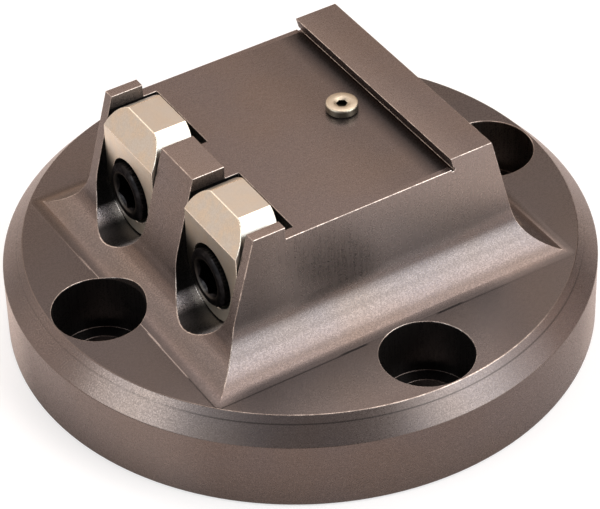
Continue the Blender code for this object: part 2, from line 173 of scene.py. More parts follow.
class LocatorSettings(bpy.types.PropertyGroup):
    """Sizes and finish of the locating screw."""

    head_height: length("Head Height", "Height of the head", 0.0020)
    head_edge: length("Head Edge", "Width of the worn edge round the face", 0.0002)
    shank_radius: length("Shank Radius", "Outer radius of the thread", 0.0024)
    pitch: length("Pitch", "Distance between the thread's turns", 0.0254 / 32)
    dish_radius: length("Dish Radius", "Radius of the conical dish round the socket", 0.0020)
    dish_depth: length("Dish Depth", "Depth of the dish at the socket", 0.0004)
    socket_across_flats: length("Socket", "Size of the hex socket across its flats", 0.00238)
    socket_depth: length("Socket Depth", "Depth of the hex socket from the face", 0.0014)
    colour: colour("Steel", "Colour of the bright steel", (0.54, 0.505, 0.41))
    roughness: share("Roughness", "Roughness of the bright steel", 0.36)


class StudioSettings(bpy.types.PropertyGroup):
    """Camera, lamps and floor."""

    azimuth: angle("Azimuth", "Direction of the camera round the vise, 0 from -Y", -30.8896)
    elevation: angle("Elevation", "Height of the camera above the horizon", 39.7185)
    roll: angle("Roll", "Turn of the camera about its own axis", -1.7592)
    distance: length("Distance", "Distance of the camera from its target", 0.7071)
    target_height: length("Target", "Height of the point that the camera circles", 0.02794)
    focal_length: FloatProperty(
        name="Lens", description="Focal length on a 36 mm sensor, in mm", default=182.016, min=1.0,
    )
    slide_right: FloatProperty(
        name="Slide", description="Camera's slide to its right, in m", default=0.000255, precision=6,
    )
    slide_up: FloatProperty(
        name="Rise", description="Camera's slide along its own up, in m", default=-0.010432, precision=6,
    )
    right_power: FloatProperty(
        name="Right Softbox", description="Power of the large softbox on the right, in W", default=2.5,
    )
    left_power: FloatProperty(
        name="Left Softbox", description="Power of the softbox on the left, in W", default=4.0,
    )
    # The floor is lighter round the vise than far off: a painted pool of light, seen in reflections and
    # bounced light
    floor_colour: colour("Floor", "Colour of the floor round the vise", (0.78, 0.71, 0.68))
    far_colour: colour("Far Floor", "Colour of the floor far off", (0.50, 0.44, 0.41))


SETTINGS = {
    "vise_body": ViseBodySettings,
    "vise_clamps": ClampSettings,
    "vise_screws": ClampScrewSettings,
    "vise_hidden": HiddenSteelSettings,
    "vise_locator": LocatorSettings,
    "vise_studio": StudioSettings,
}


# Shader helpers


def add_node(tree, kind, values=None, **settings):
    """Adds a shader node, sets its properties, and sets or links its inputs.

    values maps an input's name or number to a number, a colour or another node's output.
    """
    made = tree.nodes.new(kind)
    for key, value in settings.items():
        setattr(made, key, value)
    for key, value in (values or {}).items():
        if isinstance(value, bpy.types.NodeSocket):
            tree.links.new(value, made.inputs[key])
        else:
            made.inputs[key].default_value = value
    return made


def tree_of(*values):
    """The node tree of the first socket among values."""
    return next(value.id_data for value in values if isinstance(value, bpy.types.NodeSocket))


def maths(operation, first, *others):
    """The output of Math nodes that take first through each of the others in turn."""
    for other in others or (0.5,):
        values = {0: first, 1: other}
        first = add_node(tree_of(first, other), "ShaderNodeMath", values, operation=operation).outputs[0]
    return first


def times(*factors):
    """The product of sockets and numbers."""
    return maths("MULTIPLY", *factors)


def plus(*terms):
    """The sum of sockets and numbers."""
    return maths("ADD", *terms)


def minus(first, second):
    """The difference of two sockets or numbers."""
    return maths("SUBTRACT", first, second)


def ramp(value, low, high, out_low=0.0, out_high=1.0):
    """A smooth step of value from low to high, put out from out_low to out_high."""
    values = {"Value": value, "From Min": low, "From Max": high, "To Min": out_low, "To Max": out_high}
    made = add_node(value.id_data, "ShaderNodeMapRange", values, interpolation_type="SMOOTHSTEP")
    return made.outputs[0]


def band(value, start, low, high, end):
    """A mask that rises from start to low and falls from high to end."""
    return times(ramp(value, start, low), ramp(value, end, high))


def blend_colours(factor, first, second):
    """The output of a Mix node for colours."""
    first, second = (
        tone if isinstance(tone, bpy.types.NodeSocket) else (*tone[:3], 1.0) for tone in (first, second)
    )
    values = {0: factor, 6: first, 7: second}
    return add_node(factor.id_data, "ShaderNodeMix", values, data_type="RGBA").outputs[2]


def lay_over(base, *layers):
    """A colour with others laid over it in turn, each given as a mask and a colour."""
    for mask, tone in layers:
        base = blend_colours(mask, base, tone)
    return base


def scaled(tone, *shares):
    """A colour with its channels multiplied by one share or by three, up to 1."""
    if len(shares) == 1:
        shares *= 3
    return [min(channel * share, 1.0) for channel, share in zip(tone, shares)]


def split(vector):
    """The X, Y and Z outputs of a vector."""
    return tuple(add_node(vector.id_data, "ShaderNodeSeparateXYZ", {0: vector}).outputs)


def vectors(operation, values, output="Vector"):
    """One output of a Vector Math node."""
    tree = tree_of(*values.values())
    return add_node(tree, "ShaderNodeVectorMath", values, operation=operation).outputs[output]


def join(x, y, z):
    """A vector from three numbers or sockets."""
    return add_node(tree_of(x, y, z), "ShaderNodeCombineXYZ", {0: x, 1: y, 2: z}).outputs[0]


def distance(x, y):
    """The length of a flat vector."""
    return vectors("LENGTH", {0: join(x, y, 0.0)}, "Value")


def noise(vector, scale, detail, roughness=0.5):
    """A soft noise about 0.5, with scale waves per metre."""
    values = {"Vector": vector, "Scale": scale, "Detail": detail, "Roughness": roughness}
    return add_node(vector.id_data, "ShaderNodeTexNoise", values).outputs[0]


def with_contrast(value, contrast):
    """A mask of a value about 0.5: it turns from 0 to 1 within contrast on either side."""
    return ramp(value, minus(0.5, contrast), plus(0.5, contrast))


def new_group(name, inputs, outputs):
    """A shader node group with named float or vector sockets, and its input and output nodes."""
    kinds = {float: "NodeSocketFloat", tuple: "NodeSocketVector"}
    group = bpy.data.node_groups.new(name, "ShaderNodeTree")
    for label, default in inputs.items():
        made = group.interface.new_socket(label, in_out="INPUT", socket_type=kinds[type(default)])
        made.default_value = default
    for label, kind in outputs.items():
        group.interface.new_socket(label, in_out="OUTPUT", socket_type=kinds[kind])
    return group, group.nodes.new("NodeGroupInput").outputs, group.nodes.new("NodeGroupOutput").inputs


def grain_group():
    """Fine grain: irregular cells, each as light or dark as chance has it."""
    inputs = {"Vector": (0.0, 0.0, 0.0), "Scale": 4000.0, "Contrast": 0.3}
    group, given, result = new_group("Fine Grain", inputs, {"Mask": float})
    cells = add_node(group, "ShaderNodeTexVoronoi", {"Vector": given["Vector"], "Scale": given["Scale"]})
    chance = split(cells.outputs["Color"])[0]
    group.links.new(with_contrast(chance, given["Contrast"]), result["Mask"])
    return group


def tool_lines_group():
    """Tool marks: noise squeezed across the marks and drawn out along them.

    Scale gives the marks per metre along each of the vector's directions.
    """
    inputs = {"Vector": (0.0, 0.0, 0.0), "Scale": (1000.0, 1000.0, 50.0), "Contrast": 0.25}
    group, given, result = new_group("Tool Lines", inputs, {"Mask": float})
    squeezed = vectors("MULTIPLY", {0: given["Vector"], 1: given["Scale"]})
    mask = with_contrast(noise(squeezed, 1.0, 1.5), given["Contrast"])
    group.links.new(mask, result["Mask"])
    return group


def turned_group():
    """Coordinates of a turned face: radius, angle and height round an upright axis.

    The angle, in radians, is multiplied by Wrap, a length, so that all three are lengths.
    """
    inputs = {"Vector": (0.0, 0.0, 0.0), "Wrap": 0.01}
    group, given, result = new_group("Turned Coordinates", inputs, {"Vector": tuple, "Radius": float})
    x, y, z = split(given["Vector"])
    radius = distance(x, y)
    wrapped = times(maths("ARCTAN2", y, x), given["Wrap"])
    group.links.new(join(radius, wrapped, z), result["Vector"])
    group.links.new(radius, result["Radius"])
    return group


def use_group(name, maker, values):
    """The outputs of a node group, which is built the first time it is asked for."""
    group = bpy.data.node_groups.get(name) or maker()
    return add_node(tree_of(*values.values()), "ShaderNodeGroup", values, node_tree=group).outputs


def grain(vector, scale, contrast):
    """A mask of fine grain with scale grains per metre."""
    values = {"Vector": vector, "Scale": scale, "Contrast": contrast}
    return use_group("Fine Grain", grain_group, values)["Mask"]


def tool_lines(vector, scale, contrast):
    """A mask of tool marks."""
    values = {"Vector": vector, "Scale": scale, "Contrast": contrast}
    return use_group("Tool Lines", tool_lines_group, values)["Mask"]


def start_material(name):
    """A new material with its shader, its Object coordinates and its Normal."""
    made = bpy.data.materials.new(name)
    made.use_nodes = True
    where = add_node(made.node_tree, "ShaderNodeTexCoord").outputs
    return made, made.node_tree.nodes["Principled BSDF"], where["Object"], where["Normal"]


def set_surface(shader, base, roughness, height, bump_strength, bump_distance, fixed):
    """Links a colour, a roughness and a height to the shader, and sets its fixed inputs."""
    tree = shader.id_data
    tree.links.new(base, shader.inputs["Base Color"])
    tree.links.new(roughness, shader.inputs["Roughness"])
    values = {"Height": height, "Strength": bump_strength, "Distance": bump_distance}
    bump = add_node(tree, "ShaderNodeBump", values)
    tree.links.new(bump.outputs[0], shader.inputs["Normal"])
    for key, value in fixed.items():
        shader.inputs[key].default_value = value


# Materials


def anodised_aluminium(settings):
    """Grey-brown satin anodising over milled and turned faces.

    Upright walls carry fine upright marks, level faces carry marks along X, and the base's
    chamfer and rim carry turned marks. A fine speckle lies over all of them, and masks by place
    darken or lighten single faces, most of them as painted light and shade: painted shadow by
    the jaw, painted shade in the pockets, bores, creases and undercut, and painted highlights.
    """
    made, shader, place, normal = start_material("anodised_aluminium")
    x, y, z = split(place)
    across, along = maths("ABSOLUTE", x), maths("ABSOLUTE", y)
    level = maths("ABSOLUTE", split(normal)[2])
    turned = use_group("Turned Coordinates", turned_group, {"Vector": place, "Wrap": 0.01})
    radius = turned["Radius"]
    circle, bore, jaw = settings.bolt_circle, settings.bore_radius, settings.jaw_edge
    deck, top = settings.deck_height, BODY_HIGH.z
    seat = top - settings.seat_depth
    deck_edge = circle + bore

    # Tool marks, speckle, and the fine line turned in the chamfer
    is_level = ramp(level, 0.80, 0.97)
    is_wall = ramp(level, 0.35, 0.10)
    is_outer = ramp(radius, deck_edge + 0.0002, deck_edge + 0.0006)
    is_inner = minus(1.0, is_outer)
    marks = plus(
        times(tool_lines(place, (1900.0, 1900.0, 70.0), 0.22), is_wall, is_inner),
        times(tool_lines(place, (90.0, 2400.0, 2400.0), 0.28), 0.45, is_level, is_inner),
        times(tool_lines(turned["Vector"], (2600.0, 160.0, 2600.0), 0.28), 0.6, is_outer),
    )
    speckle, sparkle = grain(place, 4700.0, 0.35), grain(place, 3900.0, 0.35)
    on_line = ramp(maths("ABSOLUTE", minus(radius, settings.chamfer_line_radius)), 0.00016, 0.00006)
    line = times(on_line, ramp(level, 0.4, 0.6))

    # The long walls, with painted light towards the top and painted shade towards -X, the rim with painted
    # highlights on its ends, and painted shade at the foot of the ribs
    on_long_wall = times(is_wall, is_inner, ramp(along, 0.0290, 0.0298))
    on_rim = times(is_outer, is_wall)
    # Painted highlights on the rim's ends, strongest on the +Y side
    rim_end_highlight = maths(
        "MAXIMUM", ramp(x, 0.038, 0.050, 0.0, 0.28), ramp(y, 0.000, 0.021, 0.0, 0.85),
        ramp(x, -0.050, -0.060, 0.0, 0.10),
    )
    foot = times(
        is_inner, ramp(x, -0.030, -0.034), ramp(along, 0.034, 0.031),
        ramp(z, 0.0325, 0.0285, 0.0, 0.45), ramp(z, 0.0276, 0.0292),
    )
    # Painted shade on the base's level top, and at the coves' feet a painted highlight line, a painted dark
    # line and a painted highlight on the far cove
    deck_shade = times(
        ramp(z, deck + 0.0004, deck + 0.00005), is_level,
        maths("MAXIMUM", ramp(along, 0.062, 0.028, 0.31, 0.62), ramp(x, 0.008, 0.024, 0.26, 0.56)),
    )
    crease = band(minus(z, deck), 0.000010, 0.000013, 0.000025, 0.000030)
    front_crease_highlight = times(crease, ramp(x, -0.044, -0.046), ramp(y, 0.010, 0.032, 0.45, 0.08))
    long_crease_shade = times(crease, ramp(y, -0.030, -0.032), ramp(x, 0.044, 0.010, 0.25, 1.0))
    far_cove_highlight = times(
        ramp(x, 0.034, 0.036), ramp(level, 0.88, 0.72), is_inner,
        ramp(along, 0.0315, 0.0305, 0.0, 0.80),
    )
    # Painted shadow on the seat by the jaw, painted shade in the jaw's undercut, and a painted highlight on
    # the jaw's top
    inside = ramp(along, 0.03130, 0.03120)
    to_jaw = minus(jaw, x)
    seat_shadow = times(
        band(z, seat - 0.002, seat - 0.001, seat + 0.0003, seat + 0.0006), is_level, inside,
        plus(ramp(to_jaw, 0.001, 0.0065, 0.72, 0.0), ramp(to_jaw, 0.007, 0.022, 0.22, 0.0)),
    )
    undercut_shade = times(
        ramp(x, jaw, jaw + 0.0001), inside, 0.55,
        band(z, seat - 0.002, seat - 0.001, top - 0.0003, top - 0.0001),
    )
    jaw_top_highlight = times(ramp(z, top - 0.0002, top - 0.0001), ramp(x, 0.0185, 0.0285, 0.15, 0.0))
    # Pockets and bolt holes, with painted shade inside them and a painted pool of light low in each pocket
    below_axis = maths("MINIMUM", minus(z, settings.pocket_height), 0.0)
    from_pocket = distance(minus(along, settings.pocket_centre), below_axis)
    in_pocket = times(
        ramp(from_pocket, settings.pocket_radius + 0.0001, settings.pocket_radius),
        ramp(z, seat - 0.0001, seat - 0.0002), ramp(x, -0.012, -0.014),
    )
    to_bolt = maths("MINIMUM", distance(minus(across, circle), y), distance(minus(along, circle), x))
    bore_shade = times(ramp(to_bolt, bore + 0.0002, bore + 0.0001), ramp(z, deck - 0.0001, deck - 0.0004), 0.88)

    tone = settings.colour
    dull = scaled(tone, 0.74)
    base = blend_colours(
        ramp(noise(place, 38.0, 2.0), 0.35, 0.65), scaled(tone, 1.06, 0.99, 0.93),
        scaled(tone, 0.96, 0.98, 1.07),
    )
    base = lay_over(
        base,
        (times(sparkle, 0.46), scaled(tone, 1.45)),
        (times(speckle, 0.50), dull),
        (times(marks, 0.20), dull),
        (times(line, ramp(y, -0.030, -0.050, 0.35, 0.85), ramp(x, 0.058, 0.040)), scaled(tone, 0.35)),
        # Painted highlight towards the top of the long walls, painted shade towards their -X end and at the
        # ribs' foot
        (times(on_long_wall, ramp(z, 0.028, 0.044, 0.10, 0.38)), (0.50, 0.45, 0.42)),
        (times(on_long_wall, ramp(x, -0.021, -0.033, 0.0, 0.45)), (0.03, 0.026, 0.025)),
        (foot, (0.02, 0.018, 0.018)),
        (times(on_rim, 0.22), (0.04, 0.018, 0.010)),
        # Painted highlight on the rim's ends
        (times(on_rim, rim_end_highlight), (0.60, 0.55, 0.52)),
        # Painted shade on the deck, a painted highlight line and a painted dark line at the coves' feet, and
        # a painted highlight on the far cove
        (deck_shade, (0.03, 0.029, 0.030)),
        (front_crease_highlight, (0.55, 0.50, 0.46)),
        (long_crease_shade, (0.003, 0.002, 0.002)),
        (far_cove_highlight, (0.66, 0.53, 0.44)),
        # Painted highlight on the jaw's top, painted shadow on the seat by the jaw and painted shade in the
        # undercut
        (jaw_top_highlight, (0.50, 0.44, 0.40)),
        (seat_shadow, (0.010, 0.008, 0.008)),
        (undercut_shade, (0.045, 0.018, 0.012)),
        # Painted shade in the pockets, a painted pool of light low in each, and painted shade in the bores
        (times(in_pocket, 0.95), (0.012, 0.013, 0.014)),
        (times(in_pocket, band(z, 0.0255, 0.0270, 0.0276, 0.0286), 0.95), (0.85, 0.82, 0.84)),
        (bore_shade, (0.012, 0.011, 0.011)),
    )
    rough = plus(settings.roughness, times(speckle, 0.08), times(marks, 0.05))
    height = plus(times(speckle, 0.2), times(marks, 0.5), times(sparkle, 0.2), times(line, -2.0))
    height = times(height, minus(1.0, in_pocket))
    fixed = {"Metallic": 0.85, "Coat Weight": 0.35, "Coat Roughness": 0.42}
    set_surface(shader, base, rough, height, 0.17, 0.00003, fixed)
    return made


def anodised_edges(settings):
    """The broken edges of the body: bright where the anodising is thin, on edges picked by place as painted
    highlights, and a painted white line on the jaw's groove.
    """
    made, shader, place, _ = start_material("anodised_edges")
    speckle, runs = grain(place, 5200.0, 0.22), grain(place, 520.0, 0.14)
    x, y, z = split(place)
    deck, seat = settings.deck_height, BODY_HIGH.z - settings.seat_depth
    deck_edge = settings.bolt_circle + settings.bore_radius
    # Which edges are bright, by place, is thin anodising and painted highlight both: by the bolt holes and
    # towards the front at the deck, by the pockets, and above a height
    by_hole = ramp(distance(x, y), deck_edge + 0.0002, deck_edge)
    to_front = times(ramp(y, -0.030, -0.052), ramp(x, 0.036, 0.016), 0.75)
    by_deck = times(
        band(z, deck - 0.0006, deck - 0.0003, deck + 0.0003, deck + 0.0006),
        maths("MAXIMUM", by_hole, to_front),
    )
    by_pockets = times(ramp(z, 0.0236, 0.0242), ramp(x, -0.034, -0.037))
    worn = maths("MAXIMUM", ramp(z, 0.0255, 0.0295), by_pockets, by_deck)
    # Painted highlight: a white line along the edge of the jaw's groove
    groove_highlight = times(
        ramp(x, settings.jaw_edge, settings.jaw_edge + 0.0001),
        band(z, seat - 0.0004, seat - 0.0002, seat + 0.0001, seat + 0.0003),
    )
    base = lay_over(
        settings.colour,
        (times(worn, plus(0.45, times(runs, 0.55))), settings.edge_colour),
        (groove_highlight, (1.0, 0.97, 0.95)),
        (times(speckle, 0.3), settings.colour),
    )
    rough = plus(0.26, times(speckle, 0.10))
    set_surface(shader, base, rough, speckle, 0.2, 0.00002, {"Metallic": 0.9})
    return made


def nickel_plating(settings):
    """Satin plating over ground faces: faint marks across the clamp and a soft mottle.

    Masks paint light and shade on each face by the way it points, and paint shade on the face beside the
    pocket's wall.
    """
    made, shader, place, normal = start_material("nickel_plating")
    mottle = noise(place, 260.0, 3.0, 0.6)
    speckle = grain(place, 4200.0, 0.22)
    marks = tool_lines(place, (2800.0, 110.0, 2800.0), 0.26)
    forward, sideways, upward = split(normal)
    _, y, z = split(place)
    off_axis = minus(y, times(maths("SIGN", y), SCREW_AXIS.y))
    # Painted shade on the face beside the pocket's wall
    in_shade = times(
        ramp(off_axis, 0.0035, 0.0085), ramp(z, 0.0460, 0.0370, 0.0, 0.92),
        ramp(forward, -0.4, -0.8),
    )
    tone = settings.colour
    dull = scaled(tone, 0.80)
    base = blend_colours(
        ramp(mottle, 0.35, 0.65), scaled(tone, 1.05, 1.0, 0.94), scaled(tone, 0.95, 0.99, 1.05),
    )
    base = lay_over(
        base,
        (times(speckle, 0.45), dull),
        (times(marks, 0.12), dull),
        # Painted light and shade by the way a face points: lighter towards -X, darker on top and on the
        # sides; then painted shade beside the pocket's wall
        (ramp(forward, -0.93, -0.99, 0.0, 0.35), (0.92, 0.86, 0.72)),
        (ramp(upward, 0.93, 0.99, 0.0, 0.68), (0.40, 0.385, 0.34)),
        (ramp(maths("ABSOLUTE", sideways), 0.30, 0.60, 0.0, 0.85), (0.40, 0.40, 0.37)),
        (in_shade, (0.02, 0.018, 0.015)),
    )
    rough = plus(settings.roughness, times(mottle, 0.08), times(marks, 0.05))
    height = plus(times(marks, 0.6), times(speckle, 0.4))
    set_surface(shader, base, rough, height, 0.22, 0.00002, {"Metallic": 1.0})
    return made


def nickel_edges(settings):
    """The broken edges of the clamps, a little brighter than the faces."""
    made, shader, place, _ = start_material("nickel_edges")
    speckle = grain(place, 4200.0, 0.22)
    base = blend_colours(times(speckle, 0.3), scaled(settings.colour, 1.22), settings.colour)
    rough = plus(0.20, times(speckle, 0.08))
    set_surface(shader, base, rough, speckle, 0.12, 0.00002, {"Metallic": 1.0})
    return made


def black_oxide(settings):
    """Blackened steel with an oily grain, a pale ring round the socket's mouth that is wear from keys and
    painted highlight both, and painted shade in the socket.
    """
    made, shader, place, _ = start_material("black_oxide")
    x, y, z = split(place)
    from_axis = distance(minus(maths("ABSOLUTE", y), SCREW_AXIS.y), minus(z, SCREW_AXIS.z))
    mouth = settings.socket_across_flats / math.sqrt(3) + settings.socket_mouth
    # Round the socket's mouth a pale ring, wear from keys and painted highlight both; inside the socket
    # painted shade
    ring = ramp(maths("ABSOLUTE", minus(from_axis, mouth)), 0.0005, 0.0002)
    behind = SCREW_LOW.x + 0.0006
    socket_shade = times(
        ramp(from_axis, mouth, mouth - 0.0002), ramp(x, behind, behind + 0.0006, 0.0, 0.7),
    )
    speckle, rubbed = grain(place, 3600.0, 0.25), grain(place, 900.0, 0.18)
    pale = [channel * 3.2 + 0.010 for channel in settings.colour]
    base = lay_over(
        settings.colour,
        (times(rubbed, 0.35), pale),
        (times(speckle, 0.35), (0.008, 0.008, 0.008)),
        # The pale ring is wear and painted highlight; the socket's inside is painted shade
        (times(ring, ramp(x, behind, behind - 0.0002), 0.6), (0.07, 0.065, 0.058)),
        (socket_shade, (0.003, 0.003, 0.003)),
    )
    rough = plus(settings.roughness, times(speckle, 0.12))
    fixed = {"Metallic": 1.0, "Specular Tint": (0.45, 0.45, 0.45, 1.0)}
    set_surface(shader, base, rough, speckle, 0.12, 0.00002, fixed)
    return made


def bright_steel(name, tone, roughness, marks_scale, hollow=None):
    """Turned or drawn steel with fine marks and a light speckle.

    hollow is a place, a radius and a height: below it the steel carries painted shade, dark
    near the place's axis and half dark outside it.
    """
    made, shader, place, _ = start_material(name)
    speckle = grain(place, 5200.0, 0.24)
    marks = tool_lines(place, marks_scale, 0.26)
    dull = scaled(tone, 0.70)
    base = lay_over(tone, (times(speckle, 0.30), dull), (times(marks, 0.18), dull))
    if hollow:
        middle, radius, top = hollow
        x, y, z = split(place)
        # Painted shade in the hollow: dark near the axis and half dark outside it
        off = distance(minus(x, middle.x), minus(y, middle.y))
        dark = times(ramp(off, radius + 0.0002, radius, 0.55, 0.97), ramp(z, top, top - 0.00012))
        base = blend_colours(dark, base, (0.02, 0.017, 0.012))
    rough = plus(roughness, times(speckle, 0.10))
    height = plus(times(marks, 0.6), times(speckle, 0.4))
    set_surface(shader, base, rough, height, 0.25, 0.00002, {"Metallic": 1.0})
    return made


# Meshes


def new_object(name, data):
    """A new object, linked to the scene."""
    made = bpy.data.objects.new(name, data)
    bpy.context.scene.collection.objects.link(made)
    return made


def object_from(name, points, faces):
    """A new object from an array of points and a list of arrays of faces."""
    mesh = bpy.data.meshes.new(name)
    mesh.vertices.add(len(points))
    mesh.vertices.foreach_set("co", np.asarray(points, np.float32).ravel())
    corners = np.concatenate([part.ravel() for part in faces])
    sizes = np.concatenate([np.full(len(part), part.shape[1]) for part in faces])
    mesh.loops.add(len(corners))
    mesh.loops.foreach_set("vertex_index", corners)
    mesh.polygons.add(len(sizes))
    mesh.polygons.foreach_set("loop_start", np.cumsum(sizes) - sizes)
    mesh.update(calc_edges=True)
    return new_object(name, mesh)


def join_rings(rings):
    """Points and quads of a surface carried through rings, the last joined to the first.

    rings is an array of rings by angles by 3, and the quads an array of rings by angles by 4.
    """
    points = rings.reshape(-1, 3)
    index = np.arange(len(points)).reshape(rings.shape[:2])
    after = np.roll(index, -1, axis=1)
    return points, np.stack([index, after, np.roll(after, -1, axis=0), np.roll(index, -1, axis=0)], axis=-1)


def close_rings(rings):
    """Points and faces of a closed surface carried through rings.

    Each ring joins the next with quads, and the first and last rings are closed by fans to their
    mean points.
    """
    points, quads = join_rings(rings)
    first = np.full(rings.shape[1], len(points))
    start = np.stack([first, quads[0, :, 1], quads[0, :, 0]], axis=-1)
    end = np.stack([first + 1, quads[-1, :, 0], quads[-1, :, 1]], axis=-1)
    points = np.concatenate([points, [rings[0].mean(0), rings[-1].mean(0)]])
    return points, [quads[:-1].reshape(-1, 4), start, end]


def full_turn(count):
    """Angles in equal steps round a turn."""
    return np.linspace(0.0, 2 * math.pi, count, endpoint=False)


def turned_rings(rows, turn, centre, axis):
    """Rings round an axis, 0 for X or 2 for Z, from (height, radius) pairs of numbers or arrays.

    A ring's points are (h, r cos a, r sin a) about X and (r cos a, r sin a, h) about Z.
    """
    heights = np.stack([np.broadcast_to(height, turn.shape) for height, _ in rows])
    radii = np.stack([np.broadcast_to(radius, turn.shape) for _, radius in rows])
    rings = np.stack([heights, radii * np.cos(turn), radii * np.sin(turn)], axis=-1)
    middle = np.array(centre)
    middle[axis] = 0.0
    return np.roll(rings, axis, axis=-1) + middle


def hexagon_radius(across_flats, turn):
    """Radius of a hexagon at each angle: half the flats over the cosine from the flat's middle."""
    off = (turn + math.pi / 6) % (math.pi / 3) - math.pi / 6
    return across_flats / 2 / np.cos(off)


def thread_rows(heights, turn, outer, depth, pitch, start, end):
    """Rows of a right-hand thread at an array of heights, as (height, radius) pairs.

    The radius is a V that falls from outer by depth halfway between crests, and runs out to the
    root over half a pitch at both ends.
    """
    along = heights[:, None]
    phase = (along / pitch - turn / (2 * math.pi)) % 1.0
    valley = 1.0 - np.abs(2.0 * phase - 1.0)
    flat = np.clip((valley - 0.10) / 0.78, 0.0, 1.0)
    near_end = np.clip(np.minimum(along - start, end - along) / (pitch / 2), 0.0, 1.0)
    return list(zip(heights, outer - depth * np.maximum(flat, 1.0 - near_end)))


def socket_rows(face, across_flats, depth, mouth_radius, turn, into):
    """Rows of a hex socket from its drilled floor out to its mouth, as (height, radius) pairs.

    into is +1 or -1, the way into the socket. The mouth is a cone, so it meets each flat in a
    curve that dips to the flat's middle.
    """
    hexagon = hexagon_radius(across_flats, turn)
    drill = across_flats / 2 * 0.92
    floor = face + into * depth
    return [
        (floor + into * drill * 0.30, TIP * across_flats),
        (floor, drill),
        (floor, hexagon),
        (face + into * np.maximum(mouth_radius - hexagon, 0.0), hexagon),
        (face, mouth_radius),
    ]


def merged_copy(node, name, level=0.0):
    """A copy of a CAD node with its loose triangles merged and its flat faces made whole.

    Points a hair above a level face, where a cove runs out at its rim, are let down onto it.
    """
    shape = bmesh.new()
    shape.from_mesh(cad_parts[node].data)
    bmesh.ops.remove_doubles(shape, verts=shape.verts, dist=0.00006)
    for point in shape.verts:
        if level < point.co.z < level + HAIR:
            point.co.z = level
    bmesh.ops.dissolve_degenerate(shape, edges=shape.edges, dist=HAIR)
    bmesh.ops.dissolve_limit(
        shape, angle_limit=math.radians(0.3), verts=shape.verts, edges=shape.edges,
        delimit={"NORMAL"},
    )
    mesh = bpy.data.meshes.new(name)
    shape.to_mesh(mesh)
    shape.free()
    mesh.shade_smooth()
    return new_object(name, mesh)


def break_edges(piece, width, faces, edges, sharp_above=24.0):
    """Rounds every sharp edge with a narrow bevel in its own material, and keeps flats flat."""
    piece.data.materials.append(faces)
    piece.data.materials.append(edges)
    bevel = piece.modifiers.new("Edge Break", "BEVEL")
    bevel.width = width
    bevel.segments = 3
    bevel.limit_method = "ANGLE"
    bevel.angle_limit = math.radians(sharp_above)
    bevel.use_clamp_overlap = False
    bevel.miter_outer = "MITER_ARC"
    bevel.material = 1
    normals = piece.modifiers.new("Flat Faces", "WEIGHTED_NORMAL")
    normals.keep_sharp = False
    normals.weight = 100


def shade(piece, material, sharp_above=32.0):
    """Gives a piece one material and smooth shading below an angle in degrees."""
    piece.data.materials.append(material)
    piece.data.shade_smooth()
    piece.data.set_sharp_from_angle(angle=math.radians(sharp_above))


# Operators


class VISE_OT_make_body(bpy.types.Operator):
    """Make the milled body's skin, with broken edges and anodising"""

    bl_idname = "vise.make_body"
    bl_label = "Milled Body"

    def execute(self, context):
        settings = context.scene.vise_body
        piece = merged_copy("vise_body", "body_skin", settings.deck_height)
        break_edges(piece, settings.edge_width, anodised_aluminium(settings), anodised_edges(settings))
        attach(piece, "vise")
        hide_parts("vise_body")
        return {"FINISHED"}


class VISE_OT_make_clamps(bpy.types.Operator):
    """Make the two sliding clamps, with broken edges and nickel plating"""

    bl_idname = "vise.make_clamps"
    bl_label = "Sliding Clamps"

    def execute(self, context):
        settings = context.scene.vise_clamps
        plating, edges = nickel_plating(settings), nickel_edges(settings)
        for side in SIDES:
            piece = merged_copy(f"clamp_{side}", f"clamp_skin_{side}")
            break_edges(piece, settings.edge_width, plating, edges, sharp_above=13.0)
            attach(piece, f"{side}_clamp")
            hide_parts(f"clamp_{side}")
        return {"FINISHED"}


class VISE_OT_make_clamp_screws(bpy.types.Operator):
    """Make the two socket head cap screws, with knurled heads, hex sockets and threads"""

    bl_idname = "vise.make_clamp_screws"
    bl_label = "Clamp Screws"

    def execute(self, context):
        settings = context.scene.vise_screws
        look = black_oxide(settings)
        for side in SIDES:
            low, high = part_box(f"clamp_screw_{side}")
            turn = full_turn(settings.knurls * 4)
            tooth = np.abs((turn * settings.knurls / (2 * math.pi)) % 1.0 - 0.5) * 2.0
            head, edge = settings.head_radius, settings.head_edge
            knurled = head - settings.knurl_depth * tooth
            face, seat = low.x, low.x + settings.head_height
            flats = settings.socket_across_flats
            mouth = flats / math.sqrt(3) + settings.socket_mouth
            rows = socket_rows(face, flats, settings.socket_depth, mouth, turn, 1.0)
            rows += [
                (face, head - edge * 1.15),
                (face + edge * 0.10, head - edge * 0.90),
                (face + edge * 0.85, head - edge * 0.10),
                (face + edge, head - settings.knurl_depth * 0.5),
                (face + edge * 1.15, knurled),
                (seat - edge * 0.5, knurled),
                (seat - edge * 0.35, head - settings.knurl_depth),
                (seat, head - edge * 0.5),
                (seat, settings.shank_radius + 0.0002),
            ]
            outer, depth, pitch = settings.shank_radius, settings.pitch * THREAD_DEPTH, settings.pitch
            start, end = seat + 0.0004, high.x - depth
            along = np.linspace(start, end, round((end - start) / pitch * THREAD_ROWS))
            rows += thread_rows(along, turn, outer, depth, pitch, start, end)
            rows += [(high.x, outer - depth * 1.6), (high.x, TIP * outer)]
            rings = turned_rings(rows, turn, (low + high) / 2, 0)
            piece = object_from(f"cap_screw_{side}", *close_rings(rings))
            shade(piece, look)
            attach(piece, f"{side}_screw")
            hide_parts(f"clamp_screw_{side}")
        return {"FINISHED"}


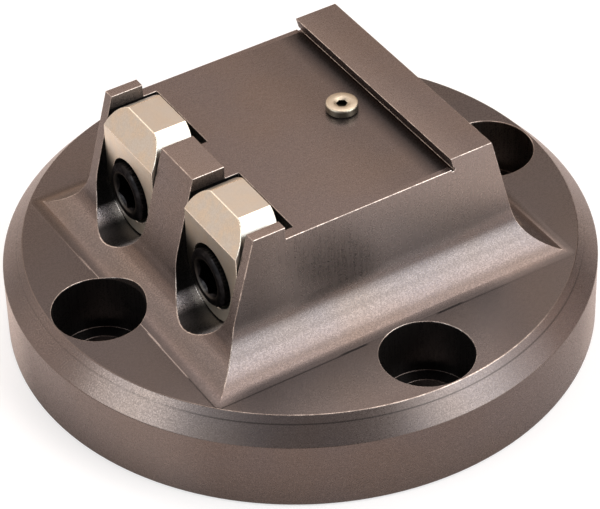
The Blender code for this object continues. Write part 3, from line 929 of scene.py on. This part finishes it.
class VISE_OT_make_springs(bpy.types.Operator):
    """Make the two return springs, with closed and ground end turns"""

    bl_idname = "vise.make_springs"
    bl_label = "Return Springs"

    def execute(self, context):
        settings = context.scene.vise_hidden
        look = bright_steel("spring_wire", settings.spring_colour, 0.28, (900.0, 900.0, 900.0))
        for side in SIDES:
            low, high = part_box(f"clamp_spring_{side}")
            wire, turns = settings.wire_radius, settings.turns
            coil = (high.y - low.y) / 2 - wire
            travelled = np.linspace(0.0, turns, turns * 36 + 1)[:, None]
            start, end = low.x + wire * 0.55, high.x - wire * 0.55
            closed = settings.end_pitch
            middle = (end - start - 2 * closed) / (turns - 2)
            along = start + np.where(
                travelled < 1.0, travelled * closed,
                np.where(
                    travelled > turns - 1.0, end - start - (turns - travelled) * closed,
                    closed + (travelled - 1.0) * middle,
                ),
            )
            round_wire = full_turn(16)
            out = coil + wire * np.cos(round_wire)
            phase = 2 * math.pi * travelled
            x = np.clip(along - wire * np.sin(round_wire), low.x, high.x)
            rings = np.stack([x, out * np.cos(phase), out * np.sin(phase)], axis=-1)
            centre = (low + high) / 2
            rings += np.array([0.0, centre.y, centre.z])
            piece = object_from(f"return_spring_{side}", *close_rings(rings))
            shade(piece, look, sharp_above=50.0)
            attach(piece, "vise")
            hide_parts(f"clamp_spring_{side}")
            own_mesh(piece)
        return {"FINISHED"}


class VISE_OT_make_inserts(bpy.types.Operator):
    """Make the two thread inserts, with an outer thread and a chamfered bore"""

    bl_idname = "vise.make_inserts"
    bl_label = "Thread Inserts"

    def execute(self, context):
        settings = context.scene.vise_hidden
        look = bright_steel("insert_steel", settings.insert_colour, 0.30, (2600.0, 300.0, 300.0))
        turn = full_turn(96)
        for side in SIDES:
            low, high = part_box(f"thread_insert_{side}")
            outer, bore = (high.y - low.y) / 2, settings.bore_radius
            chamfer = (outer - bore) * 0.4
            start, end, pitch = low.x + chamfer, high.x - chamfer, settings.insert_pitch
            along = np.linspace(start, end, round((end - start) / pitch * THREAD_ROWS))
            rows = [
                (start, bore),
                (low.x, bore + chamfer),
                (low.x, outer - chamfer),
                *thread_rows(along, turn, outer, chamfer, pitch, start, end),
                (high.x, outer - chamfer),
                (high.x, bore + chamfer),
                (end, bore),
            ]
            points, quads = join_rings(turned_rings(rows, turn, (low + high) / 2, 0))
            piece = object_from(f"steel_insert_{side}", points, [quads.reshape(-1, 4)])
            shade(piece, look)
            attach(piece, "vise")
            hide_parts(f"thread_insert_{side}")
        return {"FINISHED"}


class VISE_OT_make_locator(bpy.types.Operator):
    """Make the locating screw, with its dish, hex socket and thread"""

    bl_idname = "vise.make_locator"
    bl_label = "Locating Screw"

    def execute(self, context):
        settings = context.scene.vise_locator
        low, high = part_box("locating_screw")
        # The socket and the steel below the dish get painted shade
        hollow = ((low + high) / 2, settings.socket_across_flats * 0.58, high.z - settings.dish_depth)
        look = bright_steel(
            "locator_steel", settings.colour, settings.roughness, (500.0, 500.0, 2600.0), hollow,
        )
        head, edge = (high.x - low.x) / 2, settings.head_edge
        turn = full_turn(120)
        top, seat = high.z, high.z - settings.head_height
        flat, dish = settings.socket_across_flats, settings.dish_radius
        slope = settings.dish_depth / (dish - flat / 2)
        hexagon = hexagon_radius(flat, turn)
        floor = top - settings.socket_depth
        rows = [
            (floor - flat * 0.14, TIP * flat),
            (floor, flat * 0.46),
            (floor, hexagon),
            (top - (dish - hexagon) * slope, hexagon),
            (top - 0.00002, dish - 0.00008),
            (top, dish + 0.00004),
            (top, head - edge * 1.2),
            (top - edge * 0.25, head - edge * 0.65),
            (top - edge, head - edge * 0.10),
            (top - edge * 1.6, head),
            (seat + edge, head),
            (seat, head - edge),
            (seat, settings.shank_radius),
        ]
        outer, depth, pitch = settings.shank_radius, settings.pitch * THREAD_DEPTH, settings.pitch
        end = low.z + depth
        down = -np.linspace(seat - 0.0002, end, round((seat - low.z) / pitch * THREAD_ROWS))
        thread = thread_rows(down, turn, outer, depth, pitch, -seat, -end)
        rows += [(-height, radius) for height, radius in thread]
        rows += [(low.z, outer - depth * 1.5), (low.z, TIP * flat)]
        points, faces = close_rings(turned_rings(rows, turn, (low + high) / 2, 2))
        piece = object_from("locator_screw", points, [part[:, ::-1] for part in faces])
        shade(piece, look)
        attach(piece, "vise")
        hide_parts("locating_screw")
        return {"FINISHED"}


def towards(azimuth, elevation):
    """Unit vector from the vise towards an azimuth, 0 at -Y and growing to +X, and elevation."""
    level = math.cos(elevation)
    return Vector((math.sin(azimuth) * level, -math.cos(azimuth) * level, math.sin(elevation)))


def softbox(name, azimuth, elevation, away, width, height, power):
    """A large area lamp that faces the vise from an azimuth and elevation in degrees."""
    data = bpy.data.lights.new(name, "AREA")
    data.shape = "RECTANGLE"
    data.size = width
    data.size_y = height
    data.energy = power
    lamp = new_object(name, data)
    facing = towards(math.radians(azimuth), math.radians(elevation))
    lamp.location = facing * away
    lamp.rotation_euler = facing.to_track_quat("Z", "Y").to_euler()
    lamp.visible_camera = False


def show_camera(tree, output, room, seen):
    """Sends one shader to the output for light and reflections, and another for the camera."""
    path = add_node(tree, "ShaderNodeLightPath").outputs["Is Camera Ray"]
    pick = add_node(tree, "ShaderNodeMixShader", {0: path, 1: room.outputs[0], 2: seen.outputs[0]})
    tree.links.new(pick.outputs[0], output.inputs["Surface"])


def floor_material(settings):
    """A pale matte floor, lifted towards white where the camera sees it, with a painted pool of light round
    the vise.

    Half of what the camera sees is lit, so the floor keeps the vise's shadow.
    """
    made, shader, place, _ = start_material("pale_floor")
    tree = made.node_tree
    tree.nodes.remove(shader)
    # Painted pool of light: the floor is lighter round the vise and darker far off
    away = ramp(vectors("LENGTH", {0: place}, "Value"), 0.13, 0.38)
    tone = blend_colours(away, settings.floor_colour, settings.far_colour)
    matte = add_node(tree, "ShaderNodeBsdfDiffuse", {"Color": tone})
    lit = add_node(tree, "ShaderNodeBsdfDiffuse", {"Color": (0.42, 0.42, 0.42, 1.0)})
    glow = add_node(tree, "ShaderNodeEmission", {"Color": (0.62, 0.62, 0.62, 1.0)})
    seen = add_node(tree, "ShaderNodeAddShader", {0: lit.outputs[0], 1: glow.outputs[0]})
    show_camera(tree, tree.nodes["Material Output"], matte, seen)
    return made


# The room's level where no light hangs, and its lights: azimuth and elevation of the middle,
# spread of the full light and of its end, all in degrees, and colour
ROOM_LEVEL = (0.07, 0.04, 0.035)
ROOM_LIGHTS = (
    (24.0, 8.0, 6.0, 26.0, (2.60, 2.70, 2.80)),
    (30.0, 32.0, 10.0, 22.0, (2.15, 2.15, 2.15)),
    (40.0, 54.0, 8.0, 24.0, (2.45, 2.40, 2.45)),
    (70.0, 18.0, 8.0, 26.0, (0.74, 0.54, 0.46)),
    (-35.0, 45.0, 10.0, 32.0, (0.13, 0.13, 0.135)),
    (75.0, 64.0, 8.0, 28.0, (1.62, 1.38, 1.24)),
    (122.0, 60.0, 8.0, 28.0, (1.30, 1.15, 1.00)),
    (149.0, 38.0, 12.0, 40.0, (0.29, 0.18, 0.10)),
    (156.0, 10.0, 6.0, 22.0, (0.55, 0.42, 0.34)),
    (149.0, 62.0, 8.0, 28.0, (1.66, 1.44, 1.44)),
    (-160.0, 32.0, 10.0, 34.0, (1.35, 1.16, 1.04)),
    (-128.0, 16.0, 8.0, 28.0, (0.72, 0.54, 0.44)),
    (-75.0, 20.0, 8.0, 30.0, (1.09, 1.16, 1.23)),
)


def studio_world(settings):
    """A dim room with large soft lights, white to the camera."""
    world = bpy.data.worlds.new("studio_room")
    world.use_nodes = True
    tree = world.node_tree
    tree.nodes.clear()
    way = add_node(tree, "ShaderNodeTexCoord").outputs["Generated"]
    tone = ROOM_LEVEL
    for azimuth, elevation, inner, outer, light in ROOM_LIGHTS:
        middle = tuple(towards(math.radians(azimuth), math.radians(elevation)))
        facing = vectors("DOT_PRODUCT", {0: way, 1: middle}, "Value")
        inside = ramp(facing, math.cos(math.radians(outer)), math.cos(math.radians(inner)))
        tone = vectors("ADD", {0: tone, 1: vectors("SCALE", {0: light, "Scale": inside})})
    room = add_node(tree, "ShaderNodeBackground", {"Color": tone})
    white = add_node(tree, "ShaderNodeBackground", {"Color": (1.0, 1.0, 1.0, 1.0)})
    show_camera(tree, add_node(tree, "ShaderNodeOutputWorld"), room, white)
    return world


class VISE_OT_make_studio(bpy.types.Operator):
    """Make the floor, the lamps, the world and the camera"""

    bl_idname = "vise.make_studio"
    bl_label = "Studio"

    def execute(self, context):
        scene = context.scene
        settings = scene.vise_studio
        reach, drop = 4.0, -0.0001
        corners = [(x * reach, y * reach, drop) for x, y in ((-1, -1), (1, -1), (1, 1), (-1, 1))]
        floor = object_from("floor", corners, [np.array([[0, 1, 2, 3]])])
        floor.data.materials.append(floor_material(settings))
        softbox("right_softbox", 43.0, 32.0, 1.00, 0.66, 1.20, settings.right_power)
        softbox("left_softbox", -97.0, 34.0, 1.20, 0.60, 0.60, settings.left_power)
        scene.world = studio_world(settings)
        scene.view_settings.view_transform = "Standard"

        back = towards(settings.azimuth, settings.elevation)
        level = Vector((math.cos(settings.azimuth), math.sin(settings.azimuth), 0.0))
        upright = back.cross(level)
        right = math.cos(settings.roll) * level + math.sin(settings.roll) * upright
        up = math.cos(settings.roll) * upright - math.sin(settings.roll) * level
        place = Vector((0.0, 0.0, settings.target_height)) + back * settings.distance
        place += right * settings.slide_right + up * settings.slide_up
        data = bpy.data.cameras.new("camera")
        data.lens = settings.focal_length
        data.sensor_width = 36.0
        data.clip_start = 0.01
        data.clip_end = 20.0
        camera = new_object("camera", data)
        columns = (*right, 0.0), (*up, 0.0), (*back, 0.0), (*place, 1.0)
        camera.matrix_world = Matrix(columns).transposed()
        scene.camera = camera
        return {"FINISHED"}


class VISE_PT_looks(bpy.types.Panel):
    """Lists the vise's pieces and their settings"""

    bl_idname = "VISE_PT_looks"
    bl_label = "Dovetail Vise"
    bl_space_type = "VIEW_3D"
    bl_region_type = "UI"
    bl_category = "Vise"

    def draw(self, context):
        layout = self.layout
        for operator in OPERATORS:
            layout.operator(operator.bl_idname)
        for name, group in SETTINGS.items():
            box = layout.box()
            box.label(text=group.__doc__.rstrip("."))
            for key in group.__annotations__:
                box.prop(getattr(context.scene, name), key)


OPERATORS = (
    VISE_OT_make_body,
    VISE_OT_make_clamps,
    VISE_OT_make_clamp_screws,
    VISE_OT_make_springs,
    VISE_OT_make_inserts,
    VISE_OT_make_locator,
    VISE_OT_make_studio,
)


def register():
    for group in SETTINGS.values():
        bpy.utils.register_class(group)
    for name, group in SETTINGS.items():
        setattr(bpy.types.Scene, name, PointerProperty(type=group))
    for operator in OPERATORS:
        bpy.utils.register_class(operator)
    bpy.utils.register_class(VISE_PT_looks)


def unregister():
    bpy.utils.unregister_class(VISE_PT_looks)
    for operator in reversed(OPERATORS):
        bpy.utils.unregister_class(operator)
    for name, group in SETTINGS.items():
        delattr(bpy.types.Scene, name)
        bpy.utils.unregister_class(group)


def main():
    register()
    bpy.ops.vise.make_body()
    bpy.ops.vise.make_clamps()
    bpy.ops.vise.make_clamp_screws()
    bpy.ops.vise.make_springs()
    bpy.ops.vise.make_inserts()
    bpy.ops.vise.make_locator()
    bpy.ops.vise.make_studio()
    bpy.context.view_layer.update()


if __name__ == "__main__":
    main()
